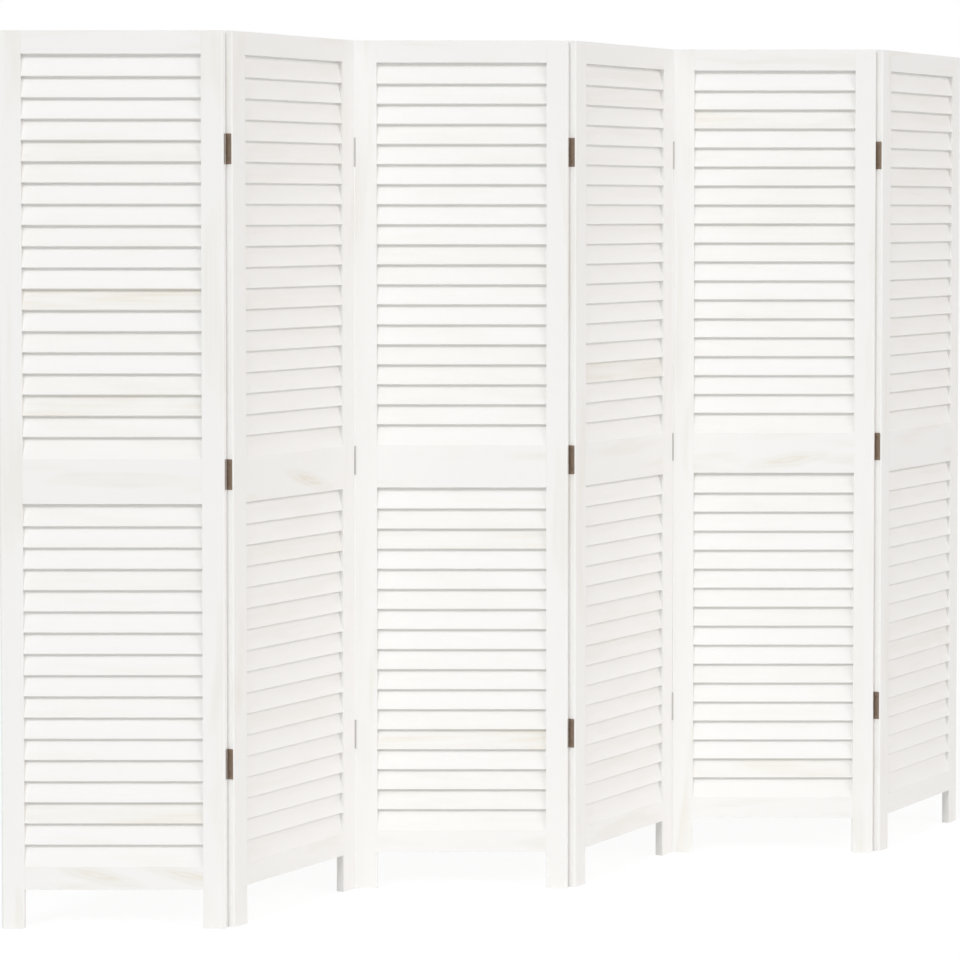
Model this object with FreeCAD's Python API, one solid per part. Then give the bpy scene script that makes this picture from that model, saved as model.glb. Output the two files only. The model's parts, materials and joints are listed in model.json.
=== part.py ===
import FreeCAD, Part
import math
import os

# Louvred folding screen: framed panels of fixed slats, joined edge to edge by butt hinges.
# Millimetres, +Z up. Odd panels run along X, and the origin is on the floor under the middle.
# A panel's own frame has X across its width, Y from its front face to its back, and Z up.

# The screen as it stands
panel_count = 6
fold_angle = 59.5  # degrees that the even panels turn away from the odd ones

# Panel frame
panel_height = 1660.0
panel_width = 416.0
panel_thickness = 16.0
stile_width = 42.5
edge_radius = 4.0  # rounding of a stile's outer long edges, but not of the one beside a hinge pin
leg_height = 72.0  # stile below the bottom rail
bottom_rail_height = 43.0
lower_opening_height = 673.5
middle_rail_height = 83.5
top_rail_height = 42.5

# Mortise and tenon between rail and stile
tenon_length = 20.0
tenon_thickness = 6.0
tenon_shoulder = 8.0  # rail left above and below a tenon
tenon_gap = 0.1  # clearance round a tenon
tenon_end_gap = 0.3  # glue room at the bottom of a mortise

# Slats, glued end to edge between the stiles
slat_width = 42.0
slat_thickness = 4.0
slat_pitch = 39.3  # nominal, evened out to fill an opening
slat_setback = 1.3  # from a slat's long edges to the frame's front and back faces
slat_rail_gap = 0.3  # between the end slats of an opening and the rails

# Butt hinges, three to a fold
hinge_height = 56.5
top_hinge_drop = 217.0  # from the panel's top to the middle of the top hinge
middle_hinge_height = 842.0
bottom_hinge_height = 304.0
leaf_thickness = 0.8
leaf_recess = 0.6  # depth of a leaf's recess in its stile's edge
recess_gap = 0.2  # round a leaf in its recess
leaf_inset = 2.3  # from a leaf's long edge to the panel face away from its pin
leaf_gap = 0.2  # between two leaves while their panels stand in line
pin_radius = 0.75
pin_gap = 0.05  # radial clearance of the pin in its knuckles
middle_knuckle_length = 19.0
knuckle_gap = 0.2  # along the pin, between neighbouring knuckles
knuckle_relief = 0.5  # between a knuckle and the other leaf's cut-back edge
knuckle_room = 0.4  # between a knuckle and the wood cut away round it
knuckle_flats = 10  # a rolled knuckle has flats in place of a round, because it repeats so often
face_gap = 0.6  # between the faces of two panels folded together

# Countersunk screws, two to a leaf
screw_length = 12.0
screw_spread = 36.0  # between the two screws of a leaf
screw_head_radius = 2.2
screw_head_depth = 1.2
screw_shank_radius = 1.1
screw_tip_radius = 0.3
screw_flats = 6

# Sizes that follow from the ones above
opening_width = panel_width - 2 * stile_width
middle_rail_foot = leg_height + bottom_rail_height + lower_opening_height
upper_opening_foot = middle_rail_foot + middle_rail_height
upper_opening_height = panel_height - top_rail_height - upper_opening_foot
slat_reach = math.asin((panel_thickness - 2 * slat_setback) / math.hypot(slat_width, slat_thickness))
slat_tilt = slat_reach - math.atan2(slat_thickness, slat_width)
fold_gap = 2 * (leaf_thickness - leaf_recess) + leaf_gap
bore_radius = pin_radius + pin_gap
knuckle_radius = bore_radius + leaf_thickness
outer_knuckle_length = (hinge_height - middle_knuckle_length) / 2 - knuckle_gap
leaf_start = knuckle_radius + knuckle_relief
leaf_end = panel_thickness + face_gap / 2 - leaf_inset
hinge_heights = [bottom_hinge_height, middle_hinge_height, panel_height - top_hinge_drop]
rails = {
    "bottom_rail": (leg_height, bottom_rail_height),
    "middle_rail": (middle_rail_foot, middle_rail_height),
    "top_rail": (panel_height - top_rail_height, top_rail_height),
}


def block(x_range, y_range, z_range):
    """Box between two limits on each axis, given in either order."""
    lows = [min(limits) for limits in (x_range, y_range, z_range)]
    sides = [abs(limits[1] - limits[0]) for limits in (x_range, y_range, z_range)]
    return Part.makeBox(*sides, FreeCAD.Vector(*lows))


def outline_face(corners):
    """Flat face inside a closed outline."""
    return Part.Face(Part.makePolygon(corners + corners[:1]))


def flat_corners(radius, flats):
    """Corners of a regular outline on a circle, as pairs of sideways and upward offsets."""
    angles = [2 * math.pi * (corner + 0.5) / flats for corner in range(flats)]
    return [(radius * math.cos(angle), radius * math.sin(angle)) for angle in angles]


def slat(low):
    """Tilted slat between the stiles, its lower front edge at height low."""
    corner = FreeCAD.Vector(stile_width, slat_setback, low)
    up = FreeCAD.Vector(0, math.sin(slat_tilt), math.cos(slat_tilt)) * slat_width
    across = FreeCAD.Vector(0, math.cos(slat_tilt), -math.sin(slat_tilt)) * slat_thickness
    section = outline_face([corner, corner + across, corner + up + across, corner + up])
    return section.extrude(FreeCAD.Vector(opening_width, 0, 0))


def slat_heights(opening_foot, opening_height):
    """Heights of the slats' lower front edges, spread evenly from rail to rail."""
    lowest = opening_foot + slat_rail_gap + slat_thickness * math.sin(slat_tilt)
    highest = opening_foot + opening_height - slat_rail_gap - slat_width * math.cos(slat_tilt)
    steps = max(1, round((highest - lowest) / slat_pitch))
    return [lowest + (highest - lowest) * step / steps for step in range(steps + 1)]


def tenon_core(foot, height, grow, end_grow):
    """Block that makes a rail's two tenons, or with clearances the mortises that take them."""
    reach = tenon_length + end_grow
    middle = panel_thickness / 2
    half = tenon_thickness / 2 + grow
    shoulder = tenon_shoulder - grow
    return block(
        (stile_width - reach, panel_width - stile_width + reach),
        (middle - half, middle + half),
        (foot + shoulder, foot + height - shoulder),
    )


def rail(foot, height):
    """Rail flush with both faces of the frame, with a tenon at each end."""
    bar = block((stile_width, panel_width - stile_width), (0, panel_thickness), (foot, foot + height))
    return bar.fuse(tenon_core(foot, height, 0, 0)).removeSplitter()


def is_back_fold(fold):
    """The first fold and every second one after it have their pins behind the panels."""
    return fold % 2 == 0


def axis_depth(fold):
    """Depth of a fold's pin in the panels' own frames, just outside the faces that fold together."""
    return panel_thickness + face_gap / 2 if is_back_fold(fold) else -face_gap / 2


def leaf_reach(fold):
    """The way that a fold's leaves lie from its pin: to the front on a back fold, else to the back."""
    return -1 if is_back_fold(fold) else 1


def hinge_recesses(outer, inward, fold):
    """Blocks cut from a stile's edge for the leaves of a fold and for the rolls beside them."""
    pin_side = outer - inward * fold_gap / 2
    pin_depth = axis_depth(fold)
    reach = leaf_reach(fold)
    room = knuckle_radius + knuckle_room
    half = hinge_height / 2 + recess_gap
    leaf_depths = (pin_depth, pin_depth + reach * (leaf_end + recess_gap))
    roll_depths = (pin_depth, pin_depth + reach * room)
    cuts = []
    for height in hinge_heights:
        span = (height - half, height + half)
        cuts.append(block((pin_side, outer + inward * leaf_recess), leaf_depths, span))
        cuts.append(block((pin_side, pin_side + inward * room), roll_depths, span))
    return cuts


def stile(outer, inner, fold):
    """Stile between its outer and inner edges, mortised inside and rounded outside.

    fold is the one that its outer edge has the hinges of, or None at a free end of the screen.
    """
    blank = block((outer, inner), (0, panel_thickness), (0, panel_height))
    cuts = [tenon_core(foot, height, tenon_gap, tenon_end_gap) for foot, height in rails.values()]
    long_edges = [edge for edge in blank.Edges if edge.Length > panel_height - 0.001]
    rounded = [edge for edge in long_edges if abs(edge.CenterOfMass.x - outer) < 0.001]
    if fold is not None:
        cuts += hinge_recesses(outer, 1 if inner > outer else -1, fold)
        half = panel_thickness / 2
        rounded = [edge for edge in rounded if abs(edge.CenterOfMass.y - axis_depth(fold)) > half]
    piece = blank.makeFillet(edge_radius, rounded)
    for cut in cuts:
        piece = piece.cut(cut)
    return piece.removeSplitter()


def panel_pieces(number):
    """Every wooden piece of one panel, counted from nought, in the panel's own frame."""
    lower = slat_heights(leg_height + bottom_rail_height, lower_opening_height)
    upper = slat_heights(upper_opening_foot, upper_opening_height)
    left_fold = number - 1 if number > 0 else None
    right_fold = number if number < panel_count - 1 else None
    pieces = {name: [rail(foot, height)] for name, (foot, height) in rails.items()}
    pieces["left_stile"] = [stile(0, stile_width, left_fold)]
    pieces["right_stile"] = [stile(panel_width, panel_width - stile_width, right_fold)]
    pieces["slats"] = [slat(low) for low in lower + upper]
    return pieces


def knuckle(foot, length):
    """Roll of a leaf round the pin, bored with clearance."""
    bore_corner = bore_radius / math.cos(math.pi / knuckle_flats)
    outlines = []
    for radius in (knuckle_radius, bore_corner):
        outlines.append([FreeCAD.Vector(x, y, foot) for x, y in flat_corners(radius, knuckle_flats)])
    roll, bore = [outline_face(corners).extrude(FreeCAD.Vector(0, 0, length)) for corners in outlines]
    return roll.cut(bore)


def knuckle_spans():
    """Foot and length of the two outer knuckles, and of the middle one, about the hinge's middle."""
    outer = [
        (-hinge_height / 2, outer_knuckle_length),
        (hinge_height / 2 - outer_knuckle_length, outer_knuckle_length),
    ]
    middle = [(-middle_knuckle_length / 2, middle_knuckle_length)]
    return outer, middle


def leaf(side, reach, spans):
    """Hinge leaf about its pin's axis.

    side is -1 on a left panel and 1 on a right one, reach is the way its plate lies along the
    panel's edge, and spans are the stretches of the pin that it is rolled round.
    """
    across = (side * leaf_gap / 2, side * (leaf_gap / 2 + leaf_thickness))
    roll_start = reach * (bore_radius + leaf_thickness / 4)
    plate = block(across, (reach * leaf_start, reach * leaf_end), (-hinge_height / 2, hinge_height / 2))
    rolls = []
    for foot, length in spans:
        rolls.append(block(across, (reach * leaf_start, roll_start), (foot, foot + length)))
        rolls.append(knuckle(foot, length))
    return plate.multiFuse(rolls).removeSplitter()


def pin():
    """Hinge pin, flush with the ends of the outer knuckles."""
    return Part.makeCylinder(pin_radius, hinge_height, FreeCAD.Vector(0, 0, -hinge_height / 2))


def screw(side, reach, height):
    """Countersunk screw about the pin's axis, its head flush with the leaf and its tip in the stile."""
    stations = [
        (0, screw_head_radius),
        (screw_head_depth, screw_shank_radius),
        (screw_length, screw_tip_radius),
    ]
    middle = reach * (leaf_start + leaf_end) / 2
    rings = []
    for depth, radius in stations:
        across = side * (leaf_gap / 2 + depth)
        corners = flat_corners(radius, screw_flats)
        rings.append([FreeCAD.Vector(across, middle + y, height + z) for y, z in corners])
    faces = [outline_face(rings[0]), outline_face(rings[-1])]
    for near, far in zip(rings, rings[1:]):
        for corner in range(screw_flats):
            before = corner - 1
            faces.append(outline_face([near[before], near[corner], far[corner], far[before]]))
    return Part.makeSolid(Part.makeShell(faces))


def stand_panels():
    """Places of the panels, hinge axis to hinge axis from the first one, and the axes themselves."""
    places = [FreeCAD.Placement()]
    axes = []
    for fold in range(panel_count - 1):
        axis = places[fold].multVec(FreeCAD.Vector(panel_width + fold_gap / 2, axis_depth(fold), 0))
        turn = FreeCAD.Rotation(FreeCAD.Vector(0, 0, 1), fold_angle if is_back_fold(fold) else 0)
        corner = axis - turn.multVec(FreeCAD.Vector(-fold_gap / 2, axis_depth(fold), 0))
        places.append(FreeCAD.Placement(corner, turn))
        axes.append(axis)
    return places, axes


def placed(model, place):
    """Copy of a piece at its place in the screen."""
    copy = model.copy()
    copy.Placement = place.multiply(copy.Placement)
    return copy


def hinge_pieces(fold, places, axis):
    """The hinges of one fold, each leaf and its screws turned with its own panel."""
    reach = leaf_reach(fold)
    outer, middle = knuckle_spans()
    left_turn = places[fold].Rotation
    right_turn = places[fold + 1].Rotation
    screw_heights = [-screw_spread / 2, screw_spread / 2]
    models = [
        (f"fold_{fold + 1}_left_leaves", left_turn, [leaf(-1, reach, outer)]),
        (f"fold_{fold + 1}_pins", left_turn, [pin()]),
        (f"fold_{fold + 1}_right_leaves", right_turn, [leaf(1, reach, middle)]),
        (f"panel_{fold + 1}_hinge_screws", left_turn, [screw(-1, reach, z) for z in screw_heights]),
        (f"panel_{fold + 2}_hinge_screws", right_turn, [screw(1, reach, z) for z in screw_heights]),
    ]
    pieces = {}
    for name, turn, solids in models:
        spots = [FreeCAD.Placement(axis + FreeCAD.Vector(0, 0, height), turn) for height in hinge_heights]
        pieces[name] = [placed(solid, spot) for spot in spots for solid in solids]
    return pieces


def screen_nodes():
    """Named groups of solids for the whole screen, and the fold axes, from the first panel's corner."""
    places, axes = stand_panels()
    nodes = {}
    for number, place in enumerate(places):
        for name, solids in panel_pieces(number).items():
            nodes[f"panel_{number + 1}_{name}"] = [placed(solid, place) for solid in solids]
    for fold, axis in enumerate(axes):
        for name, solids in hinge_pieces(fold, places, axis).items():
            nodes.setdefault(name, []).extend(solids)
    return nodes, axes


def main():
    """Centre the screen over the origin and write one file for each node."""
    nodes, axes = screen_nodes()
    bounds = Part.makeCompound([solid for solids in nodes.values() for solid in solids]).BoundBox
    shift = FreeCAD.Vector(-bounds.Center.x, -bounds.Center.y, 0)
    centred = FreeCAD.Placement(shift, FreeCAD.Rotation())
    os.makedirs("parts", exist_ok=True)
    for name, solids in nodes.items():
        group = Part.makeCompound([placed(solid, centred) for solid in solids])
        group.exportStep(f"parts/{name}.step")
    for fold, axis in enumerate(axes, 1):
        print(f"fold {fold} axis at x {axis.x + shift.x:.4f}, y {axis.y + shift.y:.4f}")
    print(f"size {bounds.XLength:.2f} x {bounds.YLength:.2f} x {bounds.ZLength:.2f}")


main()
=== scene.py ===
import json
import math
import random

import bpy
from bpy.props import FloatProperty, FloatVectorProperty, IntProperty, PointerProperty
from mathutils import Matrix, Vector


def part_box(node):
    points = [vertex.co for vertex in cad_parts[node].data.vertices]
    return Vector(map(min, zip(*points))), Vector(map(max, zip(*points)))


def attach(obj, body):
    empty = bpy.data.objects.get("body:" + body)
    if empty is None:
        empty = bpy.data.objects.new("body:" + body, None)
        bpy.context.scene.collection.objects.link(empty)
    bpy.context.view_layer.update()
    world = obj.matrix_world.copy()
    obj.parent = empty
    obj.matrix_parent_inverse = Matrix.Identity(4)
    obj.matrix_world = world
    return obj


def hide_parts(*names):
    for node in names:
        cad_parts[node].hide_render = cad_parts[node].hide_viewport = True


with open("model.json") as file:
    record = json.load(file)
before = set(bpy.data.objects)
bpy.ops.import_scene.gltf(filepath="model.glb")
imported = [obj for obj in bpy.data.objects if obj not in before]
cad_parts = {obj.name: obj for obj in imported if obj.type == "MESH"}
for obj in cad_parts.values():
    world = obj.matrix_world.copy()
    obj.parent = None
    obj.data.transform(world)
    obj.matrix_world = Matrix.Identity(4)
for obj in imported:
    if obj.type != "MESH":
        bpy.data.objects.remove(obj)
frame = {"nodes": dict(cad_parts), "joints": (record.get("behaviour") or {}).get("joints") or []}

bl_info = {
    "name": "Louvred folding screen",
    "version": (1, 0, 0),
    "blender": (4, 5, 0),
    "location": "3D View > Sidebar > Folding screen",
    "description": "Models and finishes a white-washed louvred folding screen and the studio round it",
    "category": "Object",
}

MM = 0.001
HAIR = 0.01 * MM  # closer than this, two places are the same one
ALONG = 0.9  # least share of a direction along an axis that counts as running along it
SHARP_ANGLE = math.radians(50)  # an edge that is bent more than this is eased
SMOOTH_ANGLE = math.radians(35)  # faces that meet at less than this are one curve

# The screen's sizes, read from the frame. A panel's own frame has X across its width, Y from its
# front face to its back and Z up, with the origin under the front corner of its left stile.
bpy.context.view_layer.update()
JOINTS = frame["joints"]
PANELS = range(1, len(JOINTS) + 2)
FOLDS = range(1, len(JOINTS) + 1)
RAILS = ("bottom_rail", "middle_rail", "top_rail")
FIRST_CORNER, FIRST_FAR_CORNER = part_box("panel_1_left_stile")
STILE_SIZE = FIRST_FAR_CORNER - FIRST_CORNER
PANEL_DEPTH = STILE_SIZE.y
PANEL_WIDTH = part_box("panel_1_right_stile")[1].x - FIRST_CORNER.x
OPENING = (STILE_SIZE.x, PANEL_WIDTH - STILE_SIZE.x)
RAIL_HEIGHTS = {rail: [corner.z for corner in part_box(f"panel_1_{rail}")] for rail in RAILS}


def corners_of(node):
    """Corner points of a CAD node."""
    return [vertex.co for vertex in frame["nodes"][node].data.vertices]


def levels_of(points):
    """The different heights among some points, from the lowest up."""
    return sorted({round(point.z, 5) for point in points})


def read_slats():
    """Setback, thickness, width, tilt and the heights of the lower front edges of a panel's slats."""
    low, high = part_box("panel_1_slats")
    points = corners_of("panel_1_slats")
    front_edges = levels_of(point for point in points if point.y - low.y < HAIR)
    heel = min(points, key=lambda point: point.z)
    across = Vector((heel.y - low.y, front_edges[0] - heel.z))
    tilt = math.atan2(across.y, across.x)
    width = (high.z - front_edges[-1]) / math.cos(tilt)
    return low.y - FIRST_CORNER.y, across.length, width, tilt, front_edges


SLAT_SETBACK, SLAT_THICKNESS, SLAT_WIDTH, SLAT_TILT, SLAT_EDGES = read_slats()
LOWEST_RISE = SLAT_EDGES[0] - RAIL_HEIGHTS["bottom_rail"][1]  # from a rail to the slat edge over it

# The first fold's hinges, about the axis of their pins
FIRST_AXIS = Vector(JOINTS[0]["pos_m"])
PIN_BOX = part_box("fold_1_pins")
PIN_RADIUS = (PIN_BOX[1].x - PIN_BOX[0].x) / 2
PIN_ENDS = levels_of(corners_of("fold_1_pins"))
HINGE_HEIGHT = PIN_ENDS[1] - PIN_ENDS[0]
HINGE_MIDDLES = [foot + HINGE_HEIGHT / 2 for foot in PIN_ENDS[::2]]
HALF_GAP = FIRST_AXIS.x - FIRST_CORNER.x - PANEL_WIDTH
FACE_GAP = FIRST_AXIS.y - FIRST_CORNER.y - PANEL_DEPTH
LEAF_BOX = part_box("fold_1_left_leaves")
KNUCKLE_RADIUS = LEAF_BOX[1].y - FIRST_AXIS.y
LEAF_END = FIRST_AXIS.y - LEAF_BOX[0].y
ROUND_SIDES = 24  # sides of a knuckle and of a pin
SCREW_SIDES = 16
SHEET_EASING = 0.12 * MM  # on the edges of plates and knuckles
PIN_PLAY = 0.05 * MM  # between a pin and its knuckles
PIN_EASING = 0.25 * MM

# Marks of the wood. Knots in the rails: panel, place across the panel and above the floor in metres, and
# slant down to the right in degrees.
KNOTS = ((1, 0.177, 0.098, 12), (1, 0.344, 0.098, 12), (2, 0.256, 0.814, 14), (5, 0.236, 0.814, -9))
KNOT_SIZE = (110 * MM, 20 * MM, 20 * MM)
# Slats that took less stain: panel and the slat's place, counted up from nought at the bottom, with how
# bare the slat is.
CREAM_SLATS = {
    (1, 2): 0.42, (1, 19): 0.38, (1, 24): 0.5, (1, 31): 0.25,
    (3, 4): 0.5, (3, 14): 0.25, (4, 20): 0.46, (5, 1): 0.34, (5, 33): 0.34,
}
CHANCE_BARE = 0.17  # most that chance bares any other slat
# Most of its bare wood that a board shows in patches
STILE_BARE = 0.3
RAIL_BARE = 0.26
SLAT_BARE = 0.1

# The studio
FLOOR_SIZE = 80
FLOOR_DROP = 0.5 * MM  # keeps the floor's face clear of the feet
FLOOR_GLOW = 1.05  # plain white of the floor where it is seen
GLOW_SHARE = 0.85  # the rest of what is seen of the floor is lit paper with its shadow
LAMP_PLACE = (0, -5, 5)  # of no weight, as such a lamp's light comes from far off
SENSOR_WIDTH = 36  # millimetres
VIEW_DEPTH = 200

# Sockets of a Mix node for colours
FIRST_COLOUR = 6
SECOND_COLOUR = 7
MIXED_COLOUR = 2


def linear(code):
    """Linear colour of an sRGB hex value."""
    channels = [int(code[start:start + 2], 16) / 255 for start in (1, 3, 5)]
    return [c / 12.92 if c <= 0.04045 else ((c + 0.055) / 1.055) ** 2.4 for c in channels]


class WoodSettings(bpy.types.PropertyGroup):
    """Edges and colours of the white-washed frames and slats."""

    edge_radius: FloatProperty(
        name="Stile rounding", description="Radius of a stile's outer long edges away from the hinges",
        default=4 * MM, unit="LENGTH")
    easing: FloatProperty(
        name="Easing", description="Sanding of the frame's other edges",
        default=0.35 * MM, unit="LENGTH")
    slat_edge_radius: FloatProperty(
        name="Slat rounding", description="Radius of a slat's long edges",
        default=1.4 * MM, unit="LENGTH")
    white: FloatVectorProperty(
        name="White-wash", description="Thin white stain over the wood",
        default=linear("#F4F3F1"), size=3, subtype="COLOR")
    cream: FloatVectorProperty(
        name="Bare streaks", description="Wood that shows through the stain",
        default=linear("#E2D9C6"), size=3, subtype="COLOR")
    seed: IntProperty(
        name="Board choice", description="Starts the choice of each slat's tone",
        default=7)


class HingeSettings(bpy.types.PropertyGroup):
    """Sheet, knuckles, screws and colours of the butt hinges."""

    leaf_thickness: FloatProperty(
        name="Leaf sheet", description="Thickness of a leaf's sheet metal",
        default=0.8 * MM, unit="LENGTH")
    leaf_gap: FloatProperty(
        name="Leaf gap", description="Between two leaves while their panels stand in line",
        default=0.2 * MM, unit="LENGTH")
    recess_gap: FloatProperty(
        name="Recess gap", description="Round a leaf in its stile's recess",
        default=0.2 * MM, unit="LENGTH")
    knuckle_room: FloatProperty(
        name="Knuckle room", description="Between a knuckle and the wood cut away round it",
        default=0.4 * MM, unit="LENGTH")
    corner_radius: FloatProperty(
        name="Leaf corners", description="Radius of a leaf's two free corners",
        default=1 * MM, unit="LENGTH")
    middle_knuckle: FloatProperty(
        name="Middle knuckle", description="Length of the middle knuckle",
        default=19 * MM, unit="LENGTH")
    knuckle_gap: FloatProperty(
        name="Knuckle gap", description="Gap between knuckles along the pin",
        default=0.2 * MM, unit="LENGTH")
    knuckle_relief: FloatProperty(
        name="Knuckle relief", description="From a knuckle to the other leaf's cut-back edge",
        default=0.5 * MM, unit="LENGTH")
    screw_spread: FloatProperty(
        name="Screw spread", description="Between the two screws of a leaf",
        default=36 * MM, unit="LENGTH")
    screw_head_radius: FloatProperty(
        name="Screw head", description="Radius of a screw's countersunk head",
        default=2.2 * MM, unit="LENGTH")
    bronze: FloatVectorProperty(
        name="Bronzed steel", description="Brown finish of the leaves and screws",
        default=linear("#8D7D6E"), size=3, subtype="COLOR")
    # Pale steel over the whole of every knuckle: the lacquer rubbed off, and also a painted sheen that
    # makes the knuckles look lit.
    rubbed_and_sheen: FloatVectorProperty(
        name="Rubbed knuckles", description="Bright steel where the bronze is rubbed off",
        default=linear("#CBC7C3"), size=3, subtype="COLOR")
    steel: FloatVectorProperty(
        name="Pin steel", description="Drawn wire of the pins",
        default=linear("#8C857C"), size=3, subtype="COLOR")


class StageSettings(bpy.types.PropertyGroup):
    """Camera and light of the studio."""

    camera_right: FloatProperty(
        name="Camera right", description="Camera from the first panel's left edge, along X",
        default=0.8862, unit="LENGTH")
    camera_back: FloatProperty(
        name="Camera distance", description="Camera in front of the first panel's face",
        default=6.1311, unit="LENGTH")
    camera_height: FloatProperty(
        name="Camera height", description="Camera above the floor",
        default=1.3301, unit="LENGTH")
    camera_pitch: FloatProperty(
        name="Camera pitch", description="How far the camera looks down",
        default=math.radians(2.2), subtype="ANGLE")
    lens: FloatProperty(
        name="Lens", description="Focal length for a sensor 36 mm wide",
        default=124.99, subtype="DISTANCE_CAMERA")
    rise: FloatProperty(
        name="Lens shift", description="Upward shift of the view, as a share of the picture's width",
        default=-0.1476)
    sky: FloatProperty(
        name="Soft light", description="Strength of the even light from all round",
        default=0.38)
    key: FloatProperty(
        name="Key light", description="Strength of the light from above in front",
        default=1.16)
    key_tint: FloatVectorProperty(
        name="Key colour", description="Slightly cool white of the key light",
        default=linear("#F9FDFF"), size=3, subtype="COLOR")
    key_height: FloatProperty(
        name="Key height", description="Angle of the key light above the floor",
        default=math.radians(36), subtype="ANGLE")
    key_side: FloatProperty(
        name="Key side", description="Angle of the key light to the right of straight ahead",
        default=math.radians(-25), subtype="ANGLE")
    key_softness: FloatProperty(
        name="Key softness", description="Angle that the key light fills",
        default=math.radians(20), subtype="ANGLE")
    fill: FloatProperty(
        name="Fill light", description="Strength of the broad light from the right",
        default=1.12)
    fill_tint: FloatVectorProperty(
        name="Fill colour", description="Slightly warm white of the fill light",
        default=linear("#FFFAFA"), size=3, subtype="COLOR")
    fill_height: FloatProperty(
        name="Fill height", description="Angle of the fill light above the floor",
        default=math.radians(28), subtype="ANGLE")
    fill_side: FloatProperty(
        name="Fill side", description="Angle of the fill light to the right of straight ahead",
        default=math.radians(60), subtype="ANGLE")
    fill_softness: FloatProperty(
        name="Fill softness", description="Angle that the fill light fills",
        default=math.radians(34), subtype="ANGLE")
    back: FloatProperty(
        name="Back light", description="Strength of the broad light on the backs of the panels",
        default=0.9)
    back_tint: FloatVectorProperty(
        name="Back colour", description="Plain white of the back light",
        default=linear("#FFFFFF"), size=3, subtype="COLOR")
    back_height: FloatProperty(
        name="Back height", description="Angle of the back light above the floor",
        default=math.radians(5), subtype="ANGLE")
    back_side: FloatProperty(
        name="Back side", description="Angle of the back light to the right of straight ahead",
        default=math.radians(-150), subtype="ANGLE")
    back_softness: FloatProperty(
        name="Back softness", description="Angle that the back light fills",
        default=math.radians(40), subtype="ANGLE")


class ScreenSettings(bpy.types.PropertyGroup):
    """All settings of the folding screen."""

    wood: PointerProperty(type=WoodSettings)
    hinge: PointerProperty(type=HingeSettings)
    stage: PointerProperty(type=StageSettings)


def panel_places():
    """Matrix from each panel's own frame to the screen's, and its turn, worked from hinge to hinge."""
    places = [Matrix.Translation(FIRST_CORNER)]
    turns = [0.0]
    for joint in JOINTS:
        axis = Vector(joint["pos_m"])
        in_left = places[-1].inverted() @ axis
        turns.append(turns[-1] - joint["axis"][2] * math.radians(joint["range_deg"][0]))
        from_right = Matrix.Translation((in_left.x - PANEL_WIDTH, -in_left.y, -in_left.z))
        places.append(Matrix.Translation(axis) @ Matrix.Rotation(turns[-1], 4, "Z") @ from_right)
    return places, turns


PLACES, TURNS = panel_places()


def fold_reach(fold):
    """The way that a fold's leaves lie from its pins: -1 is to the front, 1 to the back."""
    left_place = PLACES[fold - 1]
    depth = (left_place.inverted() @ Vector(JOINTS[fold - 1]["pos_m"])).y
    return -1 if depth > PANEL_DEPTH / 2 else 1


def fold_spots(fold, panel):
    """Matrices from a hinge's own frame, turned with one of its panels, to the fold's three hinges."""
    axis = Vector(JOINTS[fold - 1]["pos_m"])
    turn = Matrix.Rotation(TURNS[panel - 1], 4, "Z")
    return [Matrix.Translation((axis.x, axis.y, height)) @ turn for height in HINGE_MIDDLES]


def deselect_all():
    """Leaves object mode with nothing selected."""
    if bpy.context.mode != "OBJECT":
        bpy.ops.object.mode_set(mode="OBJECT")
    bpy.ops.object.select_all(action="DESELECT")


def pick(piece):
    """Selects one piece alone and makes it active."""
    deselect_all()
    piece.select_set(True)
    bpy.context.view_layer.objects.active = piece


def finish_with(piece, kind, **settings):
    """Adds a modifier with its settings to a piece, and applies it."""
    pick(piece)
    bpy.ops.object.modifier_add(type=kind)
    modifier = piece.modifiers[0]
    for name, value in settings.items():
        setattr(modifier, name, value)
    bpy.ops.object.modifier_apply(modifier=modifier.name)


def new_box(low, high):
    """Box between two corners, with its size and place in its mesh."""
    low, high = [Vector(corner) for corner in (low, high)]
    deselect_all()
    sides = [abs(side) for side in high - low]
    bpy.ops.mesh.primitive_cube_add(size=1, location=(low + high) / 2, scale=sides)
    bpy.ops.object.transform_apply(location=True, rotation=True, scale=True)
    return bpy.context.active_object


def select_edges(piece, wanted):
    """Enters edit mode with only those edges selected whose two ends suit wanted."""
    bpy.ops.object.mode_set(mode="EDIT")
    bpy.ops.mesh.select_mode(type="EDGE")
    bpy.ops.mesh.select_all(action="DESELECT")
    bpy.ops.object.mode_set(mode="OBJECT")
    points = piece.data.vertices
    for edge in piece.data.edges:
        edge.select = wanted(*[points[end].co for end in edge.vertices])
    bpy.ops.object.mode_set(mode="EDIT")


def select_faces(piece, wanted):
    """Enters edit mode with only those faces selected that suit wanted."""
    bpy.ops.object.mode_set(mode="EDIT")
    bpy.ops.mesh.select_mode(type="FACE")
    bpy.ops.mesh.select_all(action="DESELECT")
    bpy.ops.object.mode_set(mode="OBJECT")
    for face in piece.data.polygons:
        face.select = wanted(face)
    bpy.ops.object.mode_set(mode="EDIT")


def round_edges(piece, wanted, radius, segments):
    """Rounds chosen edges of a piece."""
    select_edges(piece, wanted)
    bpy.ops.mesh.bevel(offset=radius, segments=segments, affect="EDGES", clamp_overlap=True)
    bpy.ops.object.mode_set(mode="OBJECT")


def ease_sharp_edges(piece, radius, segments):
    """Softens every edge of a piece that is still sharp."""
    bpy.ops.object.mode_set(mode="EDIT")
    bpy.ops.mesh.select_mode(type="EDGE")
    bpy.ops.mesh.select_all(action="DESELECT")
    bpy.ops.mesh.edges_select_sharp(sharpness=SHARP_ANGLE)
    bpy.ops.mesh.bevel(offset=radius, segments=segments, affect="EDGES", clamp_overlap=True)
    bpy.ops.object.mode_set(mode="OBJECT")


def smooth(piece):
    """Shades a piece's curves smoothly, with normals weighted by area so that its flats stay flat."""
    pick(piece)
    bpy.ops.object.shade_smooth_by_angle(angle=SMOOTH_ANGLE)
    finish_with(piece, "WEIGHTED_NORMAL", keep_sharp=True)


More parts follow.
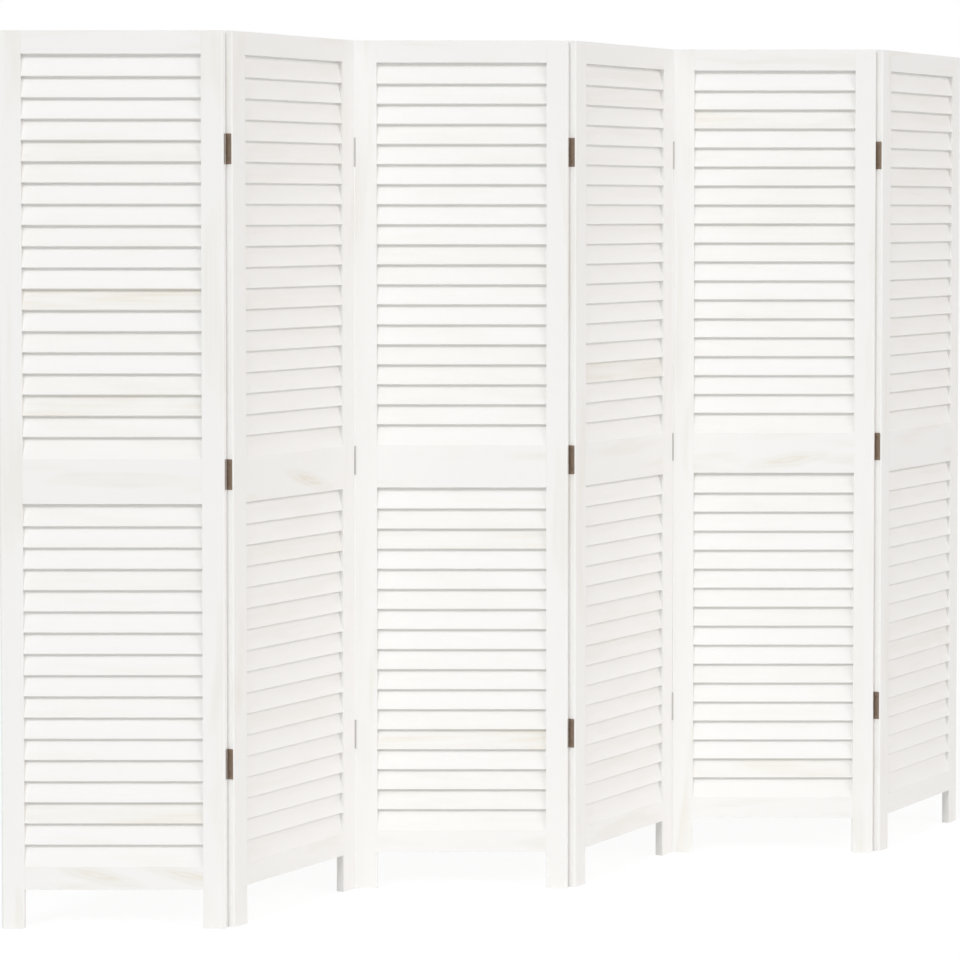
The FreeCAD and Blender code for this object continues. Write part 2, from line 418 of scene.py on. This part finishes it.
def placed_copy(model, place):
    """Copy of a model with its own mesh, moved to its place."""
    copy = model.copy()
    copy.data = model.data.copy()
    copy.data.transform(place)
    bpy.context.collection.objects.link(copy)
    return copy


def mark_points(piece, name, value):
    """Gives every point of a piece the same value, for its material to read."""
    mark = piece.data.attributes.new(name, "FLOAT", "POINT")
    mark.data.foreach_set("value", [value] * len(piece.data.vertices))


def joined(pieces, name):
    """One named object out of several."""
    deselect_all()
    for piece in pieces:
        piece.select_set(True)
    bpy.context.view_layer.objects.active = pieces[0]
    bpy.ops.object.join()
    pieces[0].name = name
    pieces[0].data.name = name
    return pieces[0]


def discard(*models):
    """Removes models whose copies are in place."""
    deselect_all()
    for model in models:
        model.select_set(True)
    bpy.ops.object.delete()


def stand_for(piece, node, body, finish):
    """Lets a finished piece stand for a CAD node, and gives it its body, slot and material."""
    piece.data.materials.clear()
    piece.data.materials.append(finish)
    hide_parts(node)
    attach(piece, body)


def add_node(tree, kind, inputs, **settings):
    """Adds a node with its settings, and gives each input a value or links it to an output."""
    node = tree.nodes.new(kind)
    for name, value in settings.items():
        setattr(node, name, value)
    for socket, value in inputs.items():
        if isinstance(value, bpy.types.NodeSocket):
            tree.links.new(value, node.inputs[socket])
        else:
            node.inputs[socket].default_value = value
    return node


def new_material(name):
    """New material and its node tree, emptied."""
    material = bpy.data.materials.new(name)
    material.use_nodes = True
    material.node_tree.nodes.clear()
    return material, material.node_tree


def finish_material(tree, shader):
    """Links a shader to the material's output."""
    add_node(tree, "ShaderNodeOutputMaterial", {"Surface": shader})


def whitewashed_wood(name, settings, board, tone_attribute=None, knots=()):
    """Pale paulownia, planed, sanded and wiped with thin white stain.

    The eye gets a matt, nearly even white, with a few soft cream patches of long grain where the stain
    is thin. board holds the turn of its panel, the sizes of a streak and of a patch along X, Y and Z, and
    the most that it shows of its bare wood. The attribute gives each slat its own tone.
    """
    material, tree = new_material(name)
    place = add_node(tree, "ShaderNodeTexCoord", {}).outputs["Object"]
    turn, streak_size, patch_size, share = board
    noises = []
    for size, detail in ((streak_size, 4.0), (patch_size, 1.0)):
        along = add_node(
            tree, "ShaderNodeMapping",
            {"Vector": place, "Rotation": (0, 0, turn), "Scale": size},
            vector_type="TEXTURE").outputs["Vector"]
        noise = add_node(
            tree, "ShaderNodeTexNoise",
            {"Vector": along, "Scale": 1.0, "Detail": detail, "Roughness": 0.6, "Distortion": 0.4})
        noises.append(noise.outputs["Fac"])
    streaks = add_node(
        tree, "ShaderNodeMapRange",
        {"Value": noises[0], "From Min": 0.3, "From Max": 0.7, "To Min": 0.3, "To Max": 1.0})
    bare = add_node(
        tree, "ShaderNodeMapRange",
        {"Value": noises[1], "From Min": 0.5, "From Max": 0.75, "To Max": share},
        interpolation_type="SMOOTHSTEP").outputs["Result"]
    if tone_attribute:
        tone = add_node(tree, "ShaderNodeAttribute", {}, attribute_name=tone_attribute).outputs["Fac"]
        cover = add_node(
            tree, "ShaderNodeMapRange",
            {"Value": noises[1], "From Min": 0.35, "From Max": 0.6, "To Min": 0.3, "To Max": 1.0})
        bare = add_node(
            tree, "ShaderNodeMath", {0: tone, 1: cover.outputs["Result"], 2: bare},
            operation="MULTIPLY_ADD").outputs["Value"]
    for knot in knots:
        bare = add_knot(tree, place, knot, turn, bare)
    bare = add_node(
        tree, "ShaderNodeMath", {0: bare, 1: streaks.outputs["Result"]},
        operation="MULTIPLY", use_clamp=True).outputs["Value"]
    colour = add_node(
        tree, "ShaderNodeMix",
        {"Factor": bare, FIRST_COLOUR: (*settings.white, 1), SECOND_COLOUR: (*settings.cream, 1)},
        data_type="RGBA").outputs[MIXED_COLOUR]
    pores = add_node(
        tree, "ShaderNodeBump",
        {"Height": noises[0], "Strength": 0.2, "Distance": 0.3 * MM}).outputs["Normal"]
    shader = add_node(
        tree, "ShaderNodeBsdfPrincipled",
        {"Base Color": colour, "Roughness": 0.6, "IOR": 1.45, "Normal": pores}).outputs["BSDF"]
    finish_material(tree, shader)
    return material


def add_knot(tree, place, knot, turn, bare):
    """Adds a long feather of bare grain round a knot's place, along its slant."""
    spot, slant = knot
    around = add_node(
        tree, "ShaderNodeMapping",
        {"Vector": place, "Location": spot, "Rotation": (0, slant, turn), "Scale": KNOT_SIZE},
        vector_type="TEXTURE").outputs["Vector"]
    rings = add_node(
        tree, "ShaderNodeTexWave",
        {"Vector": around, "Scale": 0.7, "Distortion": 7.0, "Detail": 2.0, "Detail Scale": 1.2},
        wave_type="RINGS", rings_direction="SPHERICAL").outputs["Fac"]
    away = add_node(tree, "ShaderNodeVectorMath", {0: around}, operation="LENGTH").outputs["Value"]
    reach = add_node(
        tree, "ShaderNodeMapRange",
        {"Value": away, "From Min": 0.1, "From Max": 1.0, "To Min": 0.6, "To Max": 0.0},
        interpolation_type="SMOOTHSTEP").outputs["Result"]
    ringed = add_node(
        tree, "ShaderNodeMapRange",
        {"Value": rings, "To Min": 0.6, "To Max": 1.2}).outputs["Result"]
    return add_node(
        tree, "ShaderNodeMath", {0: reach, 1: ringed, 2: bare}, operation="MULTIPLY_ADD").outputs["Value"]


def bronzed_steel(name, settings):
    """Rolled mild steel with a brown bronze lacquer.

    The eye gets a dark, satin brown with cloudy patches, and pale grey knuckles, where the lacquer is
    rubbed off; their pale steel is also a painted sheen that makes the knuckles look lit.
    """
    material, tree = new_material(name)
    place = add_node(tree, "ShaderNodeTexCoord", {}).outputs["Object"]
    cloud = add_node(
        tree, "ShaderNodeTexNoise",
        {"Vector": place, "Scale": 1 / (6 * MM), "Detail": 3.0, "Roughness": 0.55}).outputs["Fac"]
    brown = [*settings.bronze, 1]
    paler = 1.35  # thin lacquer against thick
    worn = [min(1.0, paler * channel) for channel in settings.bronze] + [1]
    colour = add_node(
        tree, "ShaderNodeMix", {"Factor": cloud, FIRST_COLOUR: brown, SECOND_COLOUR: worn},
        data_type="RGBA").outputs[MIXED_COLOUR]
    # Pale, fully metallic steel on the knuckles: rubbed lacquer together with painted sheen.
    wear = add_node(tree, "ShaderNodeAttribute", {}, attribute_name="wear").outputs["Fac"]
    colour = add_node(
        tree, "ShaderNodeMix",
        {"Factor": wear, FIRST_COLOUR: colour, SECOND_COLOUR: (*settings.rubbed_and_sheen, 1)},
        data_type="RGBA").outputs[MIXED_COLOUR]
    metal = add_node(
        tree, "ShaderNodeMapRange", {"Value": wear, "To Min": 0.35, "To Max": 1.0}).outputs["Result"]
    gloss = add_node(
        tree, "ShaderNodeMapRange",
        {"Value": cloud, "To Min": 0.34, "To Max": 0.5}).outputs["Result"]
    shader = add_node(
        tree, "ShaderNodeBsdfPrincipled",
        {"Base Color": colour, "Metallic": metal, "Roughness": gloss}).outputs["BSDF"]
    finish_material(tree, shader)
    return material


def drawn_wire(name, settings):
    """Drawn steel wire, bright under fine lengthwise marks: the eye gets a soft grey shine."""
    material, tree = new_material(name)
    place = add_node(tree, "ShaderNodeTexCoord", {}).outputs["Object"]
    along = add_node(
        tree, "ShaderNodeMapping",
        {"Vector": place, "Scale": (0.2 * MM, 0.2 * MM, 8 * MM)},
        vector_type="TEXTURE").outputs["Vector"]
    marks = add_node(
        tree, "ShaderNodeTexNoise", {"Vector": along, "Scale": 1.0, "Detail": 2.0}).outputs["Fac"]
    gloss = add_node(
        tree, "ShaderNodeMapRange",
        {"Value": marks, "To Min": 0.25, "To Max": 0.4}).outputs["Result"]
    shader = add_node(
        tree, "ShaderNodeBsdfPrincipled",
        {"Base Color": (*settings.steel, 1), "Metallic": 1.0, "Roughness": gloss}).outputs["BSDF"]
    finish_material(tree, shader)
    return material


def across_board(turn, share):
    """Turn, streak size, patch size and bare share of a board that runs across a panel."""
    return turn, (150 * MM, 5 * MM, 5 * MM), (220 * MM, 60 * MM, 30 * MM), share


def upright_board(share):
    """Turn, streak size, patch size and bare share of a board that stands upright."""
    return 0.0, (6 * MM, 6 * MM, 260 * MM), (40 * MM, 60 * MM, 300 * MM), share


def woods_by_turn(name, settings, share, **extras):
    """The wood of boards that run across: one material for each turn, listed panel by panel."""
    woods = {}
    for turn in TURNS:
        key = round(turn, 4)
        if key not in woods:
            label = f"{name}_{len(woods) + 1}"
            woods[key] = whitewashed_wood(label, settings, across_board(turn, share), **extras)
    return [woods[round(turn, 4)] for turn in TURNS]


def is_long(first, second, axis):
    """Whether an edge runs along an axis."""
    return abs(second[axis] - first[axis]) > ALONG * (second - first).length


def cut_away(piece, cutter):
    """Cuts a piece with a cutter, and takes the cutter away."""
    finish_with(piece, "BOOLEAN", operation="DIFFERENCE", object=cutter)
    discard(cutter)


def leaf_planes(settings):
    """Distances from the pin's axis to a leaf's open face and to its wood face, across the edge."""
    return settings.leaf_gap / 2, settings.leaf_gap / 2 + settings.leaf_thickness


def cut_hinge_recesses(stile, pin_depth, reach, settings):
    """Cuts a left stile's edge for its leaves and for the knuckles beside them."""
    room = KNUCKLE_RADIUS + settings.knuckle_room
    half = HINGE_HEIGHT / 2 + settings.recess_gap
    cuts = (
        (leaf_planes(settings)[1], LEAF_END + settings.recess_gap),
        (room, room),
    )
    for inward, depth in cuts:
        low = (-HALF_GAP, pin_depth, -half)
        high = (inward - HALF_GAP, pin_depth + reach * depth, half)
        block = new_box(low, high)
        blocks = [placed_copy(block, Matrix.Translation((0, 0, height))) for height in HINGE_MIDDLES]
        discard(block)
        cut_away(stile, joined(blocks, "recess_blocks"))


def stile_model(reach, settings):
    """A left stile; reach is the way its leaves lie from the pins, or nought at a free edge."""
    wood, hinge = settings.wood, settings.hinge
    model = new_box((0, 0, 0), STILE_SIZE)
    pin_face = {-1: PANEL_DEPTH, 0: None, 1: 0.0}[reach]

    def is_rounded(a, b):
        """Whether an edge is an outer long one away from the pins."""
        beside_pins = pin_face is not None and abs(a.y - pin_face) < HAIR
        return is_long(a, b, 2) and max(a.x, b.x) < HAIR and not beside_pins

    round_edges(model, is_rounded, wood.edge_radius, segments=6)
    ease_sharp_edges(model, wood.easing, segments=2)
    if reach:
        cut_hinge_recesses(model, pin_face - reach * FACE_GAP, reach, hinge)
    smooth(model)
    return model


def edge_reach(panel, side):
    """The way that the leaves on a panel's edge lie from their pins, or nought at a free edge."""
    fold = panel - 1 if side == "left" else panel
    return fold_reach(fold) if fold in FOLDS else 0


class SCREEN_OT_stiles(bpy.types.Operator):
    """Models the stiles and sets a copy at both edges of every panel"""

    bl_idname = "folding_screen.stiles"
    bl_label = "Stiles"

    def execute(self, context):
        settings = context.scene.folding_screen
        models = {reach: stile_model(reach, settings) for reach in (-1, 0, 1)}
        wood = whitewashed_wood(
            "whitewashed_paulownia_upright", settings.wood, upright_board(STILE_BARE))
        half_turn = Matrix.Rotation(math.pi, 4, "Z")
        turned_round = Matrix.Translation((PANEL_WIDTH, PANEL_DEPTH, 0)) @ half_turn
        for number, place in zip(PANELS, PLACES):
            left = models[edge_reach(number, "left")]
            right = models[-edge_reach(number, "right")]
            for side, model, spot in (("left", left, place), ("right", right, place @ turned_round)):
                piece = joined([placed_copy(model, spot)], f"stile_{number}_{side}")
                node = f"panel_{number}_{side}_stile"
                stand_for(piece, node, f"panel_{number}", wood)
        discard(*models.values())
        return {"FINISHED"}


class SCREEN_OT_rails(bpy.types.Operator):
    """Models the three rails and sets a copy of each in every panel"""

    bl_idname = "folding_screen.rails"
    bl_label = "Rails"

    def execute(self, context):
        settings = context.scene.folding_screen.wood
        knots = []
        for panel, across, height, slant in KNOTS:
            knots.append((PLACES[panel - 1] @ Vector((across, 0, height)), math.radians(slant)))
        woods = woods_by_turn("whitewashed_paulownia_rail", settings, RAIL_BARE, knots=knots)
        for rail, (foot, head) in RAIL_HEIGHTS.items():
            model = new_box((OPENING[0], 0, foot), (OPENING[1], PANEL_DEPTH, head))
            round_edges(model, lambda a, b: is_long(a, b, 0), settings.easing, segments=2)
            smooth(model)
            for number, place, wood in zip(PANELS, PLACES, woods):
                piece = joined([placed_copy(model, place)], f"{rail}_{number}")
                stand_for(piece, f"panel_{number}_{rail}", f"panel_{number}", wood)
            discard(model)
        return {"FINISHED"}


def slat_model(settings, is_lowest):
    """A slat with rounded long edges, tilted, its lower front edge at height nought.

    The lowest slat of an opening keeps that edge square and reaches down to its rail.
    """
    model = new_box((OPENING[0], 0, 0), (OPENING[1], SLAT_THICKNESS, SLAT_WIDTH))

    def is_square(a, b):
        """Whether an edge is the long one that stands over the rail."""
        return is_lowest and is_long(a, b, 0) and max(a.y, a.z) < HAIR

    def is_rounded(a, b):
        """Whether an edge is one of the other long ones."""
        return is_long(a, b, 0) and not is_square(a, b)

    round_edges(model, is_rounded, settings.slat_edge_radius, segments=3)
    if is_lowest:
        select_edges(model, is_square)
        bpy.ops.transform.translate(value=(0, 0, (HAIR - LOWEST_RISE) / math.cos(SLAT_TILT)))
        bpy.ops.object.mode_set(mode="OBJECT")
    smooth(model)
    model.rotation_euler.x = -SLAT_TILT
    model.location.y = SLAT_SETBACK
    bpy.ops.object.transform_apply(location=True, rotation=True, scale=True)
    return model


class SCREEN_OT_slats(bpy.types.Operator):
    """Models a slat and the lowest one of an opening, and fills every panel with their copies"""

    bl_idname = "folding_screen.slats"
    bl_label = "Louvre slats"

    def execute(self, context):
        settings = context.scene.folding_screen.wood
        models = {is_lowest: slat_model(settings, is_lowest) for is_lowest in (False, True)}
        woods = woods_by_turn(
            "whitewashed_paulownia_slat", settings, SLAT_BARE, tone_attribute="slat_tone")
        choice = random.Random(settings.seed)
        for number, place, wood in zip(PANELS, PLACES, woods):
            slats = []
            for index, height in enumerate(SLAT_EDGES):
                is_lowest = any(0 < height - head < SLAT_THICKNESS for _, head in RAIL_HEIGHTS.values())
                slat = placed_copy(models[is_lowest], place @ Matrix.Translation((0, 0, height)))
                tone = max(CREAM_SLATS.get((number, index), 0.0), CHANCE_BARE * choice.random() ** 2)
                mark_points(slat, "slat_tone", tone)
                slats.append(slat)
            piece = joined(slats, f"louvre_slats_{number}")
            stand_for(piece, f"panel_{number}_slats", f"panel_{number}", wood)
        discard(*models.values())
        return {"FINISHED"}


def knuckle_model(foot, length):
    """Ring of rolled sheet round the pin, turned from its wall's section."""
    wall = KNUCKLE_RADIUS - PIN_RADIUS
    deselect_all()
    bpy.ops.mesh.primitive_plane_add(
        size=1, location=(PIN_RADIUS + wall / 2, 0, foot + length / 2), rotation=(math.pi / 2, 0, 0))
    ring = bpy.context.active_object
    ring.scale = (wall, length, 1)
    bpy.ops.object.transform_apply(location=True, rotation=True, scale=True)
    bpy.ops.object.mode_set(mode="EDIT")
    bpy.ops.mesh.select_all(action="SELECT")
    bpy.ops.mesh.delete(type="ONLY_FACE")
    bpy.ops.mesh.select_all(action="SELECT")
    bpy.ops.mesh.spin(steps=ROUND_SIDES, angle=2 * math.pi, center=(0, 0, 0), axis=(0, 0, 1))
    bpy.ops.mesh.select_all(action="SELECT")
    bpy.ops.mesh.remove_doubles(threshold=HAIR)
    bpy.ops.mesh.normals_make_consistent(inside=False)
    bpy.ops.object.mode_set(mode="OBJECT")
    ease_sharp_edges(ring, SHEET_EASING, segments=1)
    # Every knuckle is marked as bare steel all over: rubbed lacquer together with a painted sheen.
    mark_points(ring, "wear", 1.0)
    return ring


def knuckle_spans(settings):
    """Foot and length of the outer knuckles and of the middle one, about the hinge's middle."""
    outer = (HINGE_HEIGHT - settings.middle_knuckle) / 2 - settings.knuckle_gap
    return (
        [(-HINGE_HEIGHT / 2, outer), (HINGE_HEIGHT / 2 - outer, outer)],
        [(-settings.middle_knuckle / 2, settings.middle_knuckle)],
    )


def leaf_model(side, reach, spans, settings):
    """Hinge leaf about its pin: side is -1 on a left panel, reach the way its plate lies."""
    across = [side * plane for plane in leaf_planes(settings)]
    start = reach * (KNUCKLE_RADIUS + settings.knuckle_relief)
    half = HINGE_HEIGHT / 2
    plate = new_box((across[0], start, -half), (across[1], reach * LEAF_END, half))

    def is_free_corner(a, b):
        """Whether an edge crosses the sheet at the end away from the pin."""
        return is_long(a, b, 0) and abs(a.y - reach * LEAF_END) < HAIR

    round_edges(plate, is_free_corner, settings.corner_radius, segments=5)
    ease_sharp_edges(plate, SHEET_EASING, segments=1)
    pieces = [plate]
    for foot, length in spans:
        roll = reach * (PIN_RADIUS + KNUCKLE_RADIUS) / 2
        pieces.append(new_box((across[0], start, foot), (across[1], roll, foot + length)))
        pieces.append(knuckle_model(foot, length))
    leaf = joined(pieces, "leaf_model")
    smooth(leaf)
    return leaf


class SCREEN_OT_hinge_leaves(bpy.types.Operator):
    """Models the leaves of a hinge and sets copies on both panels of every fold"""

    bl_idname = "folding_screen.hinge_leaves"
    bl_label = "Hinge leaves"

    def execute(self, context):
        settings = context.scene.folding_screen.hinge
        metal = bronzed_steel("bronzed_steel_leaf", settings)
        outer, middle = knuckle_spans(settings)
        for fold in FOLDS:
            sides = (("left", -1, outer, fold), ("right", 1, middle, fold + 1))
            for label, side, spans, panel in sides:
                model = leaf_model(side, fold_reach(fold), spans, settings)
                leaves = [placed_copy(model, spot) for spot in fold_spots(fold, panel)]
                piece = joined(leaves, f"hinge_leaves_{fold}_{label}")
                stand_for(piece, f"fold_{fold}_{label}_leaves", f"panel_{panel}", metal)
                discard(model)
        return {"FINISHED"}


class SCREEN_OT_hinge_pins(bpy.types.Operator):
    """Models one pin and sets a copy in every hinge"""

    bl_idname = "folding_screen.hinge_pins"
    bl_label = "Hinge pins"

    def execute(self, context):
        metal = drawn_wire("drawn_steel_wire", context.scene.folding_screen.hinge)
        deselect_all()
        bpy.ops.mesh.primitive_cylinder_add(
            vertices=ROUND_SIDES, radius=PIN_RADIUS - PIN_PLAY, depth=HINGE_HEIGHT)
        model = bpy.context.active_object
        ease_sharp_edges(model, PIN_EASING, segments=2)
        smooth(model)
        for fold in FOLDS:
            pins = [placed_copy(model, spot) for spot in fold_spots(fold, fold)]
            piece = joined(pins, f"hinge_pins_{fold}")
            stand_for(piece, f"fold_{fold}_pins", f"panel_{fold}", metal)
        discard(model)
        return {"FINISHED"}


def screw_model(settings):
    """Countersunk screw pointing down from its head, with a cross recess."""
    radius = settings.screw_head_radius
    head, shank, point = 1.2 * MM, 9 * MM, 1.8 * MM
    tip_share = 0.25  # of the shank's width
    long_side, short_side, recess = 2.4 * MM, 0.5 * MM, 0.7 * MM
    clear = 0.5 * MM  # from the head up to the cutter's top
    deselect_all()
    bpy.ops.mesh.primitive_cone_add(
        vertices=SCREW_SIDES, radius1=radius / 2, radius2=radius, depth=head, location=(0, 0, -head / 2))
    screw = bpy.context.active_object
    bpy.ops.object.transform_apply(location=True, rotation=True, scale=True)
    select_faces(screw, lambda face: face.normal.z < -ALONG)
    bpy.ops.mesh.extrude_region_move(TRANSFORM_OT_translate={"value": (0, 0, -shank)})
    bpy.ops.mesh.extrude_region_move(TRANSFORM_OT_translate={"value": (0, 0, -point)})
    bpy.ops.transform.resize(value=(tip_share, tip_share, 1), center_override=(0, 0, 0))
    bpy.ops.object.mode_set(mode="OBJECT")
    for length, width in ((long_side, short_side), (short_side, long_side)):
        low = (-length / 2, -width / 2, -recess)
        high = (length / 2, width / 2, clear)
        cut_away(screw, new_box(low, high))
    smooth(screw)
    return screw


class SCREEN_OT_screws(bpy.types.Operator):
    """Models one screw and sets two copies in every hinge leaf"""

    bl_idname = "folding_screen.screws"
    bl_label = "Hinge screws"

    def execute(self, context):
        settings = context.scene.folding_screen.hinge
        metal = bronzed_steel("bronzed_steel_screw", settings)
        model = screw_model(settings)
        plate_middle = (KNUCKLE_RADIUS + settings.knuckle_relief + LEAF_END) / 2
        screws = {number: [] for number in PANELS}
        for fold in FOLDS:
            for side, panel in ((-1, fold), (1, fold + 1)):
                into_stile = Matrix.Rotation(-side * math.pi / 2, 4, "Y")
                for spot in fold_spots(fold, panel):
                    for height in (-settings.screw_spread / 2, settings.screw_spread / 2):
                        surface = side * leaf_planes(settings)[0]
                        head = Matrix.Translation((surface, fold_reach(fold) * plate_middle, height))
                        screws[panel].append(placed_copy(model, spot @ head @ into_stile))
        for number, copies in screws.items():
            piece = joined(copies, f"hinge_screws_{number}")
            stand_for(piece, f"panel_{number}_hinge_screws", f"panel_{number}", metal)
        discard(model)
        return {"FINISHED"}


def seen_directly(tree):
    """One for rays that show the studio itself: to the eye, in a gloss or through glass."""
    path = add_node(tree, "ShaderNodeLightPath", {})
    glossy = add_node(
        tree, "ShaderNodeMath",
        {0: path.outputs["Is Camera Ray"], 1: path.outputs["Is Glossy Ray"]}, operation="MAXIMUM")
    seen = add_node(
        tree, "ShaderNodeMath",
        {0: glossy.outputs["Value"], 1: path.outputs["Is Transmission Ray"]}, operation="MAXIMUM")
    return seen.outputs["Value"]


def white_floor():
    """Seamless white paper: a matt white that keeps a soft shadow under the screen."""
    material, tree = new_material("white_paper_floor")
    paper = add_node(
        tree, "ShaderNodeBsdfPrincipled", {"Base Color": (*linear("#F2F2F0"), 1), "Roughness": 0.9})
    glow = add_node(tree, "ShaderNodeEmission", {"Strength": FLOOR_GLOW})
    share = add_node(
        tree, "ShaderNodeMath", {0: seen_directly(tree), 1: GLOW_SHARE}, operation="MULTIPLY")
    mixed = add_node(
        tree, "ShaderNodeMixShader",
        {0: share.outputs["Value"], 1: paper.outputs["BSDF"], 2: glow.outputs["Emission"]})
    finish_material(tree, mixed.outputs["Shader"])
    return material


def light_world(strength):
    """Even white light from all round, shown as plain white."""
    world = bpy.data.worlds.new("white_studio")
    world.use_nodes = True
    tree = world.node_tree
    tree.nodes.clear()
    white = (1, 1, 1, 1)
    soft = add_node(tree, "ShaderNodeBackground", {"Color": white, "Strength": strength})
    shown = add_node(tree, "ShaderNodeBackground", {"Color": white, "Strength": 1.0})
    mixed = add_node(
        tree, "ShaderNodeMixShader",
        {0: seen_directly(tree), 1: soft.outputs["Background"], 2: shown.outputs["Background"]})
    add_node(tree, "ShaderNodeOutputWorld", {"Surface": mixed.outputs["Shader"]})
    return world


def far_light(name, strength, tint, height, side, softness):
    """Even light from far off, from its height above the floor and its side of straight ahead."""
    bpy.ops.object.light_add(
        type="SUN", location=LAMP_PLACE, rotation=(math.pi / 2 - height, 0, side))
    lamp = bpy.context.active_object
    lamp.name = name
    lamp.data.energy = strength
    lamp.data.color = tint
    lamp.data.angle = softness
    return lamp


class SCREEN_OT_stage(bpy.types.Operator):
    """Sets the floor, the light and the camera"""

    bl_idname = "folding_screen.stage"
    bl_label = "Studio"

    def execute(self, context):
        settings = context.scene.folding_screen.stage
        scene = context.scene
        deselect_all()
        bpy.ops.mesh.primitive_plane_add(size=FLOOR_SIZE, location=(0, 0, -FLOOR_DROP))
        floor = context.active_object
        floor.name = "studio_floor"
        bpy.ops.object.transform_apply(location=True, rotation=True, scale=True)
        floor.data.materials.append(white_floor())
        scene.world = light_world(settings.sky)
        for name in ("key", "fill", "back"):
            endings = ("", "_tint", "_height", "_side", "_softness")
            values = [getattr(settings, name + ending) for ending in endings]
            far_light(f"{name}_light", *values)
        corner = FIRST_CORNER
        eye = (corner.x + settings.camera_right, corner.y - settings.camera_back, settings.camera_height)
        bpy.ops.object.camera_add(location=eye, rotation=(math.pi / 2 - settings.camera_pitch, 0, 0))
        camera = context.active_object
        camera.name = "studio_camera"
        camera.data.sensor_width = SENSOR_WIDTH
        camera.data.lens = settings.lens
        camera.data.shift_y = settings.rise
        camera.data.clip_end = VIEW_DEPTH
        scene.camera = camera
        scene.view_settings.view_transform = "Standard"
        return {"FINISHED"}


OPERATORS = (
    SCREEN_OT_stiles,
    SCREEN_OT_rails,
    SCREEN_OT_slats,
    SCREEN_OT_hinge_leaves,
    SCREEN_OT_hinge_pins,
    SCREEN_OT_screws,
    SCREEN_OT_stage,
)


class SCREEN_PT_sidebar(bpy.types.Panel):
    """Lists the screen's pieces and settings in the sidebar"""

    bl_idname = "SCREEN_PT_sidebar"
    bl_label = "Folding screen"
    bl_space_type = "VIEW_3D"
    bl_region_type = "UI"
    bl_category = "Folding screen"

    def draw(self, context):
        settings = context.scene.folding_screen
        for operator in OPERATORS:
            self.layout.operator(operator.bl_idname)
        for group in (settings.wood, settings.hinge, settings.stage):
            box = self.layout.box()
            for name in group.__annotations__:
                box.prop(group, name)


CLASSES = (WoodSettings, HingeSettings, StageSettings, ScreenSettings, *OPERATORS, SCREEN_PT_sidebar)


def register():
    """Makes the settings, operators and sidebar known."""
    for item in CLASSES:
        bpy.utils.register_class(item)
    bpy.types.Scene.folding_screen = PointerProperty(type=ScreenSettings)


def unregister():
    """Takes the settings, operators and sidebar away again."""
    del bpy.types.Scene.folding_screen
    for item in reversed(CLASSES):
        bpy.utils.unregister_class(item)


def main():
    """Builds every piece and the studio."""
    register()
    for operator in OPERATORS:
        group, name = operator.bl_idname.split(".")
        getattr(getattr(bpy.ops, group), name)()


if __name__ == "__main__":
    main()
